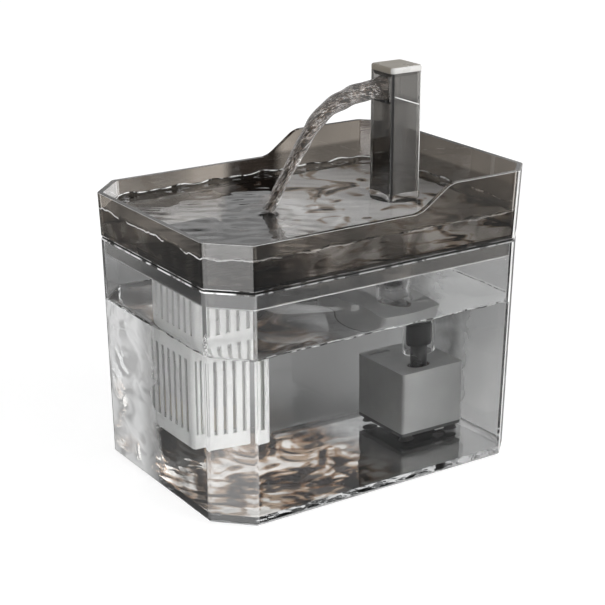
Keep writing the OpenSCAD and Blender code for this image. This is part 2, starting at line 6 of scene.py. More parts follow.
import bmesh
import bpy
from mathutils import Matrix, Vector


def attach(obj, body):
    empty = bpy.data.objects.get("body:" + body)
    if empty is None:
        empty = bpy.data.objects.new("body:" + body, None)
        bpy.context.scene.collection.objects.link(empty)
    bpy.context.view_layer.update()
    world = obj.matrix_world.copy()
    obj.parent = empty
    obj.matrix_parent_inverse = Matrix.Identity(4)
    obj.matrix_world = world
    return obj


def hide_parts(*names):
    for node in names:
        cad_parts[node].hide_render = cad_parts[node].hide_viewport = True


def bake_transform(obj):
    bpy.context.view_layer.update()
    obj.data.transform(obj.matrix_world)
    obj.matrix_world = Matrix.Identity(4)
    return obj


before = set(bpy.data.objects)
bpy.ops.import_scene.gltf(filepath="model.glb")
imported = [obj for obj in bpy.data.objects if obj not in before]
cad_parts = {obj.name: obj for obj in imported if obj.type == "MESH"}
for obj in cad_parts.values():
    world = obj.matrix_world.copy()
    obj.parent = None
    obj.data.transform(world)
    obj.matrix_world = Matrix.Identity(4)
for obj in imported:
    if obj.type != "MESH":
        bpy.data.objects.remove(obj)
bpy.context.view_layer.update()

MM = 0.001
# Coordinates closer than this are the same
TINY = 1e-6


def mm(*sizes):
    return tuple(size * MM for size in sizes)


# Tank
TANK_HALF = mm(100, 75)
TANK_FOOT = 1 * MM
TANK_FLOOR = 5.5 * MM
TANK_RIM = 131 * MM
TANK_DRAFT = 0.017
WALL = 3 * MM
CHAMFER_LOW = 19 * MM
CHAMFER_HIGH = 12.6 * MM
FOOT_ROUND = 2 * MM
RIM_ROUND = 1.1 * MM
CORNER_ROUND = 1.3 * MM
EDGE_ROUND = 0.5 * MM
# The raised end's corners lie beyond this X, and the notch beyond this one
SPOUT_END = 86 * MM
NOTCH_START = 68 * MM
# The outer upright edges, and the roundings at the joint, lie less than this inside the outline
OUTER_EDGE = 2.9 * MM
JOINT_DEEP = 1.2 * MM
# The near corner of the drinking end, which is slightly cloudy
CLOUDY_CORNER = mm(-78, -53)
# Where the cord leaves
RIM_NOTCH = (mm(74, 69, 125), mm(82, 80, 132))
SKIRT_NOTCH = (mm(74, 60, 119), mm(82, 74, 131.9))

# Tray
JOINT = 131.3 * MM
TRAY_FLOOR = 133.8 * MM
LOW_RIM = 156.6 * MM
HIGH_RIM = 170.4 * MM
SLOPE = mm(21.6, 41.4)
BEND = 4 * MM
TRAY_FLARE = 0.037
SKIRT_IN = 3.4 * MM
SKIRT_T = 2 * MM
SKIRT_LOW = JOINT - 10 * MM
SKIRT_EDGE = 0.7 * MM
GROMMET_R = 12 * MM
BASKET = mm(-72.5, -10)
WELL = mm(41.6, 56.6)
WELL_ROUND = 3 * MM

# Spout
SPOUT = (60.5 * MM, 0)
COLUMN_W = 21.5 * MM
COLUMN_ROUND = 2.5 * MM
COLUMN_ROOM = 17.1 * MM
COLUMN_FOOT = 135.3 * MM
DUCT_HOLE = 7.05 * MM
CAP_Z = 216.5 * MM
CAP_TOP = 220 * MM
PLUG_W = 16.9 * MM
PLUG_Z = mm(214.5, 217)
OUTLET_Z = 200.5 * MM
OUTLET_H = 14 * MM
OUTLET_W = 15 * MM
LEDGE_Z = mm(203.4, 204.0)
LEDGE_FALL = 6 * MM
RISER_R, RISER_BORE = mm(10.5, 8.5)
RISER_Z = mm(56, 135.3)
DUCT_BORE = 5.3 * MM
# The rising water narrows into the duct between the first two heights and ends at the third
DUCT_Z = mm(124.6, 125.8, 199.6)

# Water
TANK_WATER = 94 * MM
TRAY_WATER = 146.8 * MM
WATER_GAP = 0.25 * MM
WETTED = 1 * MM
MENISCUS = 1.3 * MM
LANDING = mm(-28, -3)
# How much more light bends in water than in air, and in clear plastic than in water and in air
WATER, IN_WATER, IN_AIR = 1.33, 1.12, 1.49

# Painted shade: the tray's raised end is darker below this height, from the first to the second X, by this
# shade
SHADE_TOP = 157 * MM
SHADE_X = mm(18, 26)
SHADE = (0.5, 0.5, 0.5)
# Painted shade: the tray's tint is also darker in a slanting band. The direction across the band, its
# place, how far from there it starts to fade and is gone, and its shade
SHADE_STREAK_ACROSS = (0.835, -0.55, 0)
SHADE_STREAK_AT = -32 * MM
SHADE_STREAK_HALF = mm(11, 19)
SHADE_STREAK_TINT = (0.08, 0.07, 0.065)


# ---------------------------------------------------------------- modelling helpers

def rest_all():
    """Leaves edit mode and selects nothing."""
    if bpy.context.object and bpy.context.object.mode != "OBJECT":
        bpy.ops.object.mode_set(mode="OBJECT")
    bpy.ops.object.select_all(action="DESELECT")


def take(piece):
    """Makes one piece the only selected and the active one."""
    rest_all()
    piece.select_set(True)
    bpy.context.view_layer.objects.active = piece


def settle(piece):
    """Puts the piece's place, turn and scale into its mesh."""
    take(piece)
    bpy.ops.object.transform_apply(location=True, rotation=True, scale=True)
    return piece


def named(name):
    """Names the object that was just added, and its mesh."""
    piece = bpy.context.object
    piece.name = piece.data.name = name
    return settle(piece)


def block(name, low, high):
    """A box between two corners, to start a piece or a cutter from."""
    rest_all()
    middle = [(a + b) / 2 for a, b in zip(low, high)]
    size = [b - a for a, b in zip(low, high)]
    bpy.ops.mesh.primitive_cube_add(size=1, location=middle, scale=size)
    return named(name)


def rod(name, radius, low, high):
    """An upright round cutter on the spout's axis."""
    rest_all()
    bpy.ops.mesh.primitive_cylinder_add(
        vertices=48, radius=radius, depth=high - low, location=(*SPOUT, (low + high) / 2))
    return named(name)


@contextmanager
def editing(piece, kind):
    """Edit mode on one piece with nothing selected; kind is VERT, EDGE or FACE."""
    take(piece)
    bpy.ops.object.mode_set(mode="EDIT")
    bpy.ops.mesh.select_mode(type=kind)
    bpy.ops.mesh.select_all(action="DESELECT")
    yield
    bpy.ops.object.mode_set(mode="OBJECT")


def pick(piece, kind, test):
    """Selects the vertices, edges or faces that pass the test."""
    mesh = bmesh.from_edit_mesh(piece.data)
    bpy.ops.mesh.select_all(action="DESELECT")
    for item in {"VERT": mesh.verts, "EDGE": mesh.edges, "FACE": mesh.faces}[kind]:
        if test(item):
            item.select_set(True)
    mesh.select_flush_mode()
    bmesh.update_edit_mesh(piece.data)


def pick_all():
    bpy.ops.mesh.select_all(action="SELECT")


def push(*offset):
    """Extrudes what is selected."""
    bpy.ops.mesh.extrude_region_move(TRANSFORM_OT_translate={"value": offset})


def widen(x, y):
    """Scales what is selected about the upright axis."""
    bpy.ops.transform.resize(value=(x, y, 1), center_override=(0, 0, 0))


def fill_and_turn_out(piece):
    """Closes the open ends and turns all faces outwards."""
    pick(piece, "EDGE", lambda e: e.is_boundary)
    if piece.data.total_edge_sel:
        bpy.ops.mesh.edge_face_add()
    pick_all()
    bpy.ops.mesh.normals_make_consistent(inside=False)


def near(value, level):
    return abs(value - level) < TINY


def upright(edge):
    a, b = edge.verts
    return abs(a.co.z - b.co.z) > 0.8 * edge.calc_length()


def middle_of(edge):
    return (edge.verts[0].co + edge.verts[1].co) / 2


def level_edge(edge, level):
    return not upright(edge) and near(middle_of(edge).z, level)


def level_face(face, level, up):
    """An edit-mode face at one height that looks up (1) or down (-1)."""
    return face.normal.z * up > 0.9 and near(face.calc_center_median().z, level)


def inset_of(point):
    """How far a point of the plan lies inside the tank's outline."""
    x, y = abs(point.x), abs(point.y)
    leg = CHAMFER_LOW if point.x < 0 else CHAMFER_HIGH
    across = (TANK_HALF[0] + TANK_HALF[1] - leg - x - y) / math.sqrt(2)
    return min(TANK_HALF[0] - x, TANK_HALF[1] - y, across)


def bevel_edges(piece, test, width, segments):
    with editing(piece, "EDGE"):
        pick(piece, "EDGE", test)
        bpy.ops.mesh.bevel(offset_type="OFFSET", offset=width, segments=segments, affect="EDGES")


def smooth(piece, angle=35, weighted=True):
    """Smooth shading in which broad faces stay flat, so clear walls don't bend what is seen in them."""
    take(piece)
    bpy.ops.object.shade_smooth_by_angle(angle=math.radians(angle))
    if weighted:
        normals = piece.modifiers.new("flat_faces", "WEIGHTED_NORMAL")
        normals.keep_sharp, normals.weight = True, 100
        bpy.ops.object.modifier_apply(modifier=normals.name)


def soften(piece, width):
    """Rounds every sharp edge of the finished shape."""
    take(piece)
    bevel = piece.modifiers.new("soft_edges", "BEVEL")
    bevel.width, bevel.segments, bevel.limit_method = width, 2, "ANGLE"
    bevel.angle_limit = math.radians(30)
    bevel.use_clamp_overlap = True
    bpy.ops.object.modifier_apply(modifier=bevel.name)
    smooth(piece)


def combine(piece, tool, operation):
    """Cuts with, or joins, another solid, which is used up."""
    take(piece)
    step = piece.modifiers.new("shape", "BOOLEAN")
    step.operation, step.object, step.solver = operation, tool, "EXACT"
    bpy.ops.object.modifier_apply(modifier=step.name)
    bpy.data.objects.remove(tool, do_unlink=True)


def cut(piece, tool):
    combine(piece, tool, "DIFFERENCE")


def lean(piece, level, factor):
    """Scales what lies at one height about the upright axis, so the walls lean."""
    with editing(piece, "VERT"):
        pick(piece, "VERT", lambda v: near(v.co.z, level))
        widen(*factor)


def split(piece, level):
    """Draws an edge round the piece at one height."""
    with editing(piece, "FACE"):
        pick_all()
        bpy.ops.mesh.bisect(plane_co=(0, 0, level), plane_no=(0, 0, 1))


def slab(name, low, high):
    """A block of the tank's outline, with chamfers that are wide at the drinking end."""
    piece = block(name, (-TANK_HALF[0], -TANK_HALF[1], low), (*TANK_HALF, high))
    bevel_edges(piece, lambda e: upright(e) and middle_of(e).x < 0, CHAMFER_LOW, 1)
    bevel_edges(piece, lambda e: upright(e) and middle_of(e).x > TANK_HALF[0] - 8 * MM, CHAMFER_HIGH, 1)
    return piece


def round_corners(piece):
    """Rounds the outer upright edges, where walls and chamfers meet, but not the notch."""
    bevel_edges(piece, lambda e: upright(e) and inset_of(middle_of(e)) < OUTER_EDGE
                and e.calc_length() > 20 * MM and not NOTCH_START < middle_of(e).x < SPOUT_END,
                CORNER_ROUND, 3)


def round_rim(piece, level):
    """Rounds the outer edge at one height."""
    bevel_edges(piece, lambda e: level_edge(e, level) and inset_of(middle_of(e)) < 0.5 * MM, RIM_ROUND, 4)


def hollow(piece, top, floor, factor):
    """Sinks a pocket from the top face, with walls that lean by factor."""
    with editing(piece, "FACE"):
        pick(piece, "FACE", lambda f: level_face(f, top, 1))
        bpy.ops.mesh.inset(thickness=WALL)
        push(0, 0, floor - top)
        widen(*factor)


def rounded_post(name, size, radius, low, high, at=SPOUT):
    """An upright block with rounded upright corners."""
    x, y = at
    piece = block(name, (x - size[0] / 2, y - size[1] / 2, low), (x + size[0] / 2, y + size[1] / 2, high))
    bevel_edges(piece, upright, radius, 5)
    return piece


def scaled(at_half, to_half):
    """Factors that take one half size to another, along X and Y."""
    return [to / at for at, to in zip(at_half, to_half)]


def grown(half, inset):
    return [size - inset for size in half]


# ---------------------------------------------------------------- node helpers

class Nodes:
    """A node tree under construction, and the coordinates of its patterns."""

    def __init__(self, tree, coordinates):
        self.tree = tree
        tree.nodes.clear()
        self.place = self.add("ShaderNodeTexCoord").outputs[coordinates]

    def add(self, kind, **settings):
        node = self.tree.nodes.new(kind)
        for key, value in settings.items():
            setattr(node, key, value)
        return node

    def put(self, socket, value):
        """Links an earlier output to an input, or writes a plain value on the input."""
        if isinstance(value, bpy.types.NodeSocket):
            self.tree.links.new(value, socket)
        else:
            socket.default_value = (*value, 1) if socket.type == "RGBA" else value

    def wire(self, node, output, *values, **named_values):
        """Feeds a node's inputs, by their order or their names, and hands back one output."""
        for socket, value in zip(node.inputs, values):
            self.put(socket, value)
        for key, value in named_values.items():
            self.put(node.inputs[key.replace("_", " ")], value)
        return node.outputs[output]

    def math(self, operation, *values):
        return self.wire(self.add("ShaderNodeMath", operation=operation), 0, *values)

    def vector(self, operation, *values):
        return self.wire(self.add("ShaderNodeVectorMath", operation=operation), "Value", *values)

    def axis(self, name):
        return self.wire(self.add("ShaderNodeSeparateXYZ"), name, self.place)

    def span(self, value, low, high, start=0.0, end=1.0, shape="LINEAR"):
        """Takes the range from low to high to the one from start to end."""
        return self.wire(self.add("ShaderNodeMapRange", interpolation_type=shape), "Result",
                         Value=value, From_Min=low, From_Max=high, To_Min=start, To_Max=end)

    def mix(self, kind, factor, a, b, blend="MIX"):
        """Goes from a to b, two numbers (kind FLOAT) or two colours (kind RGBA)."""
        node = self.add("ShaderNodeMix", data_type=kind, blend_type=blend)
        first, out = {"FLOAT": (2, 0), "RGBA": (6, 2)}[kind]
        for index, value in ((0, factor), (first, a), (first + 1, b)):
            self.put(node.inputs[index], value)
        return node.outputs[out]

    def noise(self, scale, detail=2.0, stretch=(1, 1, 1), distortion=0.0, place=None):
        """A cloudy pattern."""
        place = self.place if place is None else place
        where = self.wire(self.add("ShaderNodeMapping"), "Vector", Vector=place, Scale=stretch)
        return self.wire(self.add("ShaderNodeTexNoise"), "Fac", Vector=where, Scale=scale, Detail=detail,
                         Distortion=distortion)

    def seen_rays(self, rays):
        """1 for what the eye sees straight on, mirrored or through glass, and 0 for light on surfaces."""
        total = rays["Is Camera Ray"]
        for kind in ("Is Glossy Ray", "Is Transmission Ray"):
            total = self.math("MAXIMUM", total, rays[kind])
        return self.math("MULTIPLY", total, self.math("LESS_THAN", rays["Diffuse Depth"], 0.5))


class Finish(Nodes):
    """A material under construction, with patterns in the piece's own coordinates."""

    def __init__(self, name):
        self.material = bpy.data.materials.new(name)
        self.material.use_nodes = True
        super().__init__(self.material.node_tree, "Object")
        self.shader = self.add("ShaderNodeBsdfPrincipled")
        self.surface = self.add("ShaderNodeOutputMaterial").inputs["Surface"]
        self.put(self.surface, self.shader.outputs["BSDF"])

    def set(self, **sockets):
        self.wire(self.shader, 0, **sockets)
        return self

    def glassy(self, colour, ior, clearness=1.0, roughness=0.0):
        """Sets what every clear finish needs, and hands back the material."""
        return self.set(Base_Color=colour, IOR=ior, Roughness=roughness,
                        Transmission_Weight=clearness).material

    def tone(self, pattern, dark, light, low=0.35, high=0.65, middle=None):
        """Colours from dark to light by a pattern, if asked through a middle colour at its own place."""
        ramp = self.add("ShaderNodeValToRGB")
        stops = ramp.color_ramp.elements
        stops[0].position, stops[1].position = low, high
        stops[0].color, stops[1].color = (*dark, 1), (*light, 1)
        if middle:
            place, colour = middle
            stops.new(place).color = (*colour, 1)
        return self.wire(ramp, "Color", pattern)

    def bump(self, pattern, depth, strength=1.0):
        self.set(Normal=self.wire(self.add("ShaderNodeBump"), "Normal", Height=pattern, Distance=depth,
                                  Strength=strength))
        return self


# ---------------------------------------------------------------- finishes

WHITE = (1.0, 1.0, 1.0)


def shade(colour, factor):
    return tuple(min(1.0, c * factor) for c in colour)


def moulded(name, colour, roughness=0.35, grain=0.02 * MM, grain_scale=900, vary=0.08):
    """Moulded plastic: fine spark-eroded grain, with colour and gloss that drift slightly."""
    f = Finish(name)
    f.set(Base_Color=f.tone(f.noise(35, 3), shade(colour, 1 - vary), shade(colour, 1 + vary)), IOR=1.5,
          Roughness=f.span(f.noise(120), 0.3, 0.7, roughness * 0.85, roughness * 1.15))
    return f.bump(f.noise(grain_scale), grain).material


def shade_streak(f):
    """1 in the slanting band of painted shade on the tray, and 0 outside it."""
    off = f.math("ADD", f.vector("DOT_PRODUCT", f.place, SHADE_STREAK_ACROSS), -SHADE_STREAK_AT)
    return f.span(f.math("ABSOLUTE", off), *SHADE_STREAK_HALF, 1.0, 0.0, "SMOOTHSTEP")


def clear(name, tint, ior, vary=0.03, wave=0.0, wave_scale=30, haze=0.0, drift_scale=18,
          stretch=(1, 1, 1), shaded=False, shade_streak_tint=None, coat=0.0):
    """Clear plastic or water with a tint, a haze, and faint waves left by its making or its flow."""
    f = Finish(name)
    colour = f.tone(f.noise(drift_scale, 2, stretch), shade(tint, 1 - vary), shade(tint, 1 + vary))
    # Painted shade: the tint is darker low down in the tray's raised end
    if shaded:
        low = f.span(f.axis("Z"), SHADE_TOP, SHADE_TOP + 2 * MM, 1.0, 0.0)
        raised = f.span(f.axis("X"), *SHADE_X)
        colour = f.mix("RGBA", f.math("MULTIPLY", low, raised), colour, SHADE, "MULTIPLY")
    # Painted shade: the tint is darker in the slanting band
    if shade_streak_tint:
        colour = f.mix("RGBA", shade_streak(f), colour, shade_streak_tint, "MULTIPLY")
    if wave:
        f.bump(f.noise(wave_scale, 1.5, stretch), wave)
    return f.set(Coat_Weight=coat).glassy(colour, ior, 1 - haze)


def smoky_front(name, dark, light, haze, lip):
    """A smoky wall with a painted highlight: a broken, wandering pale line where the lip of the tray's
    water lies behind it.
    """
    f = Finish(name)
    smoke = f.tone(f.noise(30, 2, (1, 1, 0.6)), dark, light)
    height = f.math("MULTIPLY_ADD", f.noise(110), 5 * MM, f.axis("Z"))
    off = f.math("ABSOLUTE", f.math("SUBTRACT", height, TRAY_WATER + MENISCUS + 2.5 * MM))
    # Painted highlight: the wall turns pale and less clear along the line
    line = f.math("MULTIPLY", f.span(off, *mm(0.25, 0.5), 1.0, 0.0),
                  f.span(f.noise(75), 0.44, 0.5, 0.0, lip))
    f.bump(f.noise(45, 1.5), 0.12 * MM)
    return f.glassy(f.mix("RGBA", line, smoke, WHITE), IN_AIR, f.span(line, 0.0, 1.0, 1 - haze, 0.2))


def light_edge(name, colour):
    """A polished edge of clear plastic with a painted highlight: pale where the light that runs along the
    wall comes out.
    """
    f = Finish(name)
    return f.glassy(f.tone(f.noise(60, 3), shade(colour, 0.8), colour), IN_AIR, 0.35, 0.2)


def glinting(name, dark, scale, ior, clearness, light=WHITE):
    """Water curled up along a wall, or a wet edge: painted glints, in broken bright and dark stretches."""
    f = Finish(name)
    return f.glassy(f.tone(f.noise(scale, 3), dark, light, 0.41, 0.51), ior, clearness, 0.15)


def falling_water():
    """Twisting ropes of water, with dark and brown painted into their colour for what they bend from behind
    them.
    """
    f = Finish("stream_water")
    flow = f.add("ShaderNodeAttribute", attribute_name="flow").outputs["Vector"]
    ropes = f.noise(3.6, 3, distortion=0.6, place=flow)
    colour = f.tone(ropes, (0.003, 0.002, 0.001), WHITE, 0.48, 0.56, (0.515, (0.42, 0.23, 0.11)))
    # The rim of the jet stays clear
    rim = f.wire(f.add("ShaderNodeLayerWeight"), "Facing", Blend=0.3)
    f.bump(ropes, 1.6 * MM)
    return f.glassy(f.mix("RGBA", rim, colour, WHITE), WATER)


def rippled_wall():
    """The drinking end's wall below the water line, with moulding waves towards the back."""
    f = Finish("rippled_wall")
    net = f.noise(55, 1.5, (1, 1, 1.4), 0.8)
    # The waves fade out in front of the filter
    fade = f.span(f.math("MULTIPLY_ADD", net, 40 * MM, f.axis("Y")), *mm(15, 35), 0.06, 1.0)
    f.bump(net, 1.0 * MM, fade)
    # A painted pale net, less clear, stands in for the light caught in them
    clearness = f.span(fade, 0.0, 1.0, 1.0, f.span(net, 0.4, 0.6, 0.0, 0.4))
    return f.glassy(f.tone(f.noise(40), (0.93, 0.935, 0.935), (0.99, 0.99, 0.99)), IN_AIR, clearness)


def patches(f, scale, dark, middle, light, low, high, less=0.0):
    """Light thrown by ripples, in pale and brown patches, and fewer of them by less."""
    pattern = f.math("SUBTRACT", f.noise(scale, 2.5, distortion=1.2), less)
    return f.tone(pattern, dark, light, low, high, (low + 0.55 * (high - low), middle))


def wet_front():
    """The near walls' inner faces, with the patches of the water's light."""
    f = Finish("wet_smoky_front")
    return f.glassy(patches(f, 34, (0.09, 0.08, 0.07), (0.5, 0.47, 0.44), WHITE, 0.4, 0.56), IN_WATER)


def tray_bed():
    """The tray's floor: darker in the slanting band of painted shade, and cloudier, and so paler as painted
    light, from the middle towards the column.
    """
    f = Finish("tray_bed")
    colour = patches(f, 42, (0.01, 0.008, 0.007), (0.55, 0.45, 0.37), WHITE, 0.35, 0.49,
                     f.math("MULTIPLY", shade_streak(f), 0.17))
    # Painted light: less clear, and so paler, towards the column
    return f.glassy(colour, IN_WATER, f.span(f.axis("X"), *mm(-24, 0), 0.88, 0.1))


def tank_bed():
    """The tank's floor, without patches in the shade of the pump."""
    f = Finish("tank_bed")
    colour = patches(f, 38, (0.0015, 0.001, 0.001), (0.32, 0.17, 0.085), (1.0, 0.965, 0.92), 0.42, 0.53)
    return f.glassy(f.mix("RGBA", f.span(f.axis("X"), *mm(10, 30)), colour, (0.5, 0.5, 0.5)), IN_WATER)


# Edges that several pieces share: a painted highlight, a painted shadow, and painted glints
HIGHLIGHT_EDGE = light_edge("painted_highlight_edge", (0.95, 0.95, 0.94))
SEAM_SHADOW = moulded("seam_shadow", (0.008, 0.008, 0.008), 0.4)
GLINT_EDGE = glinting("glinting_edge", (0.03, 0.028, 0.025), 90, IN_AIR, 0.15)
JOINT_EDGE = glinting("joint_edge", (0.01, 0.01, 0.01), 130, IN_AIR, 0.4, (0.3, 0.3, 0.3))


def wear(piece, material):
    """Gives a piece or a carried-over solid one finish."""
    piece.data.materials.clear()
    piece.data.materials.append(material)


def paint(piece, material, test):
    """Gives the faces that pass the test another finish."""
    piece.data.materials.append(material)
    slot = len(piece.data.materials) - 1
    for face in piece.data.polygons:
        if test(face):
            face.material_index = slot


def slanted(face):
    """A face of the upright chamfers."""
    return abs(abs(face.normal.x) - abs(face.normal.y)) < 0.15 and abs(face.normal.z) < 0.1


def on_corner(face):
    """A face of the rounding between a wall and a chamfer."""
    turn = math.degrees(math.atan2(face.normal.y, face.normal.x)) % 45
    return abs(face.normal.z) < 0.15 and 5 < turn < 40


def on_near_corner(face):
    """The same, at the near corner of the spout's end, which catches the light."""
    return on_corner(face) and face.center.x > SPOUT_END and face.center.y < 0


def on_near_side(face):
    return face.normal.y < -0.3 and abs(face.normal.x) < 0.3


def floor_face(face, level):
    return face.normal.z > 0.9 and abs(face.center.z - level) < 0.01 * MM


# ---------------------------------------------------------------- tank and tray

def make_tank(shell, wet, cloudy, shaded_side, rippled, bed, underside):
    low_half = grown(TANK_HALF, (TANK_RIM - TANK_FOOT) * TANK_DRAFT)
    tank = slab("tank_shell", TANK_FOOT, TANK_RIM)
    lean(tank, TANK_FOOT, scaled(TANK_HALF, low_half))
    inner = grown(TANK_HALF, WALL)
    hollow(tank, TANK_RIM, TANK_FLOOR,
           scaled(inner, grown(inner, (TANK_RIM - TANK_FLOOR) * TANK_DRAFT)))
    bevel_edges(tank, lambda e: level_edge(e, TANK_FOOT), FOOT_ROUND, 3)
    cut(tank, block("notch", *RIM_NOTCH))
    round_corners(tank)
    round_rim(tank, TANK_RIM)
    split(tank, TANK_WATER + WETTED)
    soften(tank, EDGE_ROUND)

    def inner_wall(f):
        return inset_of(f.center) > (TANK_RIM - f.center.z) * TANK_DRAFT + WALL / 2

    def at_joint(f):
        return (f.center.z > TANK_RIM - RIM_ROUND and inset_of(f.center) < JOINT_DEEP
                and 0.02 < f.normal.z < 0.99)

    wear(tank, shell)
    # Painted shade: a grey copy of the clear plastic darkens the spout's end above the water
    paint(tank, shaded_side, lambda f: f.normal.x > 0.6 and f.center.x > SPOUT_END and f.center.z > TANK_WATER)
    paint(tank, wet, lambda f: TANK_FLOOR - 0.2 * MM < f.center.z < TANK_WATER + WETTED and inner_wall(f))
    paint(tank, bed, lambda f: floor_face(f, TANK_FLOOR))
    paint(tank, underside, lambda f: f.normal.z < -0.9 and f.center.z < TANK_FOOT + 0.01 * MM)
    # Painted glints along the joint, darker on the near side, a painted shadow on its upper roundings, and
    # a painted highlight on the near corner at the spout's end
    paint(tank, GLINT_EDGE, lambda f: at_joint(f) and f.normal.z < 0.6)
    paint(tank, JOINT_EDGE, lambda f: at_joint(f) and f.normal.z < 0.6 and on_near_side(f))
    paint(tank, SEAM_SHADOW, lambda f: at_joint(f) and f.normal.z >= 0.6)
    paint(tank, HIGHLIGHT_EDGE, lambda f: on_near_corner(f) and inset_of(f.center) < OUTER_EDGE)
    paint(tank, cloudy, lambda f: f.center.x < CLOUDY_CORNER[0] and f.center.y < CLOUDY_CORNER[1]
          and inset_of(f.center) < 2.6 * MM and (slanted(f) or on_corner(f)) and f.area > 0.5 * MM * MM)
    paint(tank, rippled, lambda f: f.normal.x < -0.9 and f.center.z < TANK_WATER and f.area > 100 * MM * MM)
    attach(tank, "tank_unit")
    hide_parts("tank")


def rim_cutter():
    """What is taken off above the tray's rim: a low end, a slope and a high end."""
    out = TANK_HALF[0] + 30 * MM
    cutter = block("rim_cutter", (-out, -100 * MM, LOW_RIM), (SLOPE[1], 100 * MM, HIGH_RIM))
    with editing(cutter, "FACE"):
        pick(cutter, "FACE", lambda f: f.normal.z > 0.9)
        push(0, 0, 20 * MM)
        pick(cutter, "FACE", lambda f: f.normal.x > 0.9 and f.calc_center_median().z > HIGH_RIM)
        push(90 * MM, 0, 0)

    def across(edge, x, z):
        """An edge that crosses the tray at one place of the rim's outline."""
        return (near(middle_of(edge).x, x) and near(middle_of(edge).z, z)
                and abs(edge.verts[0].co.y - edge.verts[1].co.y) > 0.1)

    with editing(cutter, "EDGE"):
        pick(cutter, "EDGE", lambda e: across(e, SLOPE[1], LOW_RIM))
        bpy.ops.transform.translate(value=(SLOPE[0] - SLOPE[1], 0, 0))
    bevel_edges(cutter, lambda e: across(e, SLOPE[0], LOW_RIM) or across(e, SLOPE[1], HIGH_RIM), BEND, 6)
    return cutter


def make_tray(shell, wet, near_side, end, near_wet, far_end, bed, corner, wet_corner, far_corner):
    top = HIGH_RIM + 2 * MM
    flare = lambda z: (JOINT - z) * TRAY_FLARE
    tray = slab("tray_shell", JOINT, top)
    lean(tray, top, scaled(TANK_HALF, grown(TANK_HALF, flare(top))))
    inner = grown(TANK_HALF, flare(top) + WALL)
    hollow(tray, top, TRAY_FLOOR, scaled(inner, grown(TANK_HALF, flare(TRAY_FLOOR) + WALL)))

    def in_ring(face):
        return level_face(face, JOINT, -1) and len(face.verts) == 4 and all(
            SKIRT_IN - 0.01 * MM < inset_of(v.co) < SKIRT_IN + SKIRT_T + 0.01 * MM for v in face.verts)

    # The locating skirt is drawn down out of the underside
    with editing(tray, "FACE"):
        pick(tray, "FACE", lambda f: level_face(f, JOINT, -1))
        bpy.ops.mesh.inset(thickness=SKIRT_IN)
        bpy.ops.mesh.inset(thickness=SKIRT_T)
        pick(tray, "FACE", in_ring)
        push(0, 0, SKIRT_LOW - JOINT)
    cut(tray, rim_cutter())
    cut(tray, rod("grommet_hole", GROMMET_R, *mm(128, 136)))
    cut(tray, rounded_post("well_hole", WELL, WELL_ROUND, *mm(130, 136), BASKET))
    cut(tray, block("cord_notch", *SKIRT_NOTCH))
    round_corners(tray)
    round_rim(tray, JOINT)
    split(tray, TRAY_WATER + WETTED)
    split(tray, SKIRT_LOW + SKIRT_EDGE)
    soften(tray, EDGE_ROUND)

    def inside(f):
        return (TRAY_FLOOR - 0.2 * MM < f.center.z < TRAY_WATER + WETTED
                and inset_of(f.center) > flare(f.center.z) + WALL / 2)

    def outside(f, deep=1.5 * MM):
        return f.center.z > JOINT and inset_of(f.center) < flare(f.center.z) + deep

    def at_joint(f):
        return (JOINT - TINY < f.center.z < JOINT + RIM_ROUND and inset_of(f.center) < JOINT_DEEP
                and -0.99 < f.normal.z < -0.02)

    wear(tray, shell)
    # Lit and shaded copies of the one smoky plastic, as painted light and shade: the chamfers and the near
    # walls lighter, the drinking end lightest, the spout's end and its far chamfer darker
    paint(tray, corner, lambda f: (slanted(f) or on_corner(f) and f.center.x < 0) and f.center.z > JOINT)
    paint(tray, far_corner, lambda f: slanted(f) and f.center.x > SPOUT_END and f.center.y > 0
          and f.center.z > JOINT)
    paint(tray, near_side, lambda f: (f.normal.x < -0.9 or f.normal.y < -0.9) and outside(f))
    paint(tray, end, lambda f: f.normal.x < -0.9 and outside(f))
    paint(tray, far_end, lambda f: f.normal.x > 0.9 and outside(f))
    paint(tray, wet, lambda f: inside(f) and not slanted(f))
    paint(tray, near_wet, lambda f: inside(f) and (f.normal.x > 0.9 or f.normal.y > 0.9))
    paint(tray, wet_corner, lambda f: inside(f) and slanted(f))
    paint(tray, bed, lambda f: floor_face(f, TRAY_FLOOR))
    # Painted glints along the joint and the skirt's lower edge, darker on the near side, painted highlights
    # on the skirt's lower edge, the low rim and the near corner at the spout's end, and a painted shadow on
    # the joint's lower roundings
    paint(tray, GLINT_EDGE, lambda f: at_joint(f) and f.normal.z > -0.6
          or f.center.z < SKIRT_LOW + 0.6 * MM and f.normal.z < -0.25)
    paint(tray, JOINT_EDGE, lambda f: at_joint(f) and on_near_side(f))
    paint(tray, HIGHLIGHT_EDGE, lambda f: f.center.z < SKIRT_LOW + SKIRT_EDGE and f.normal.z > -0.8)
    paint(tray, HIGHLIGHT_EDGE, lambda f: f.center.z > LOW_RIM - 0.6 * MM and 0.2 < f.normal.z < 0.97
          and outside(f, 0.6 * MM) or on_near_corner(f) and outside(f, 1.2 * MM))
    paint(tray, SEAM_SHADOW, lambda f: at_joint(f) and f.normal.z <= -0.6)
    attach(tray, "tray_unit")
    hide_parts("tray", "tray_skirt")


# ---------------------------------------------------------------- water

def tank_inset(z):
    """How far the tank's water lies inside the tank's outline at one height."""
    return WALL + WATER_GAP + (TANK_RIM - z) * TANK_DRAFT


def tray_inset(z):
    return WALL + WATER_GAP + (JOINT - z) * TRAY_FLARE


def chamfer_at(sx, inset):
    """The leg of a chamfer, of the drinking end (-1) or the spout's (1), that far inside the outline."""
    return (CHAMFER_LOW if sx < 0 else CHAMFER_HIGH) - inset * (2 - math.sqrt(2))


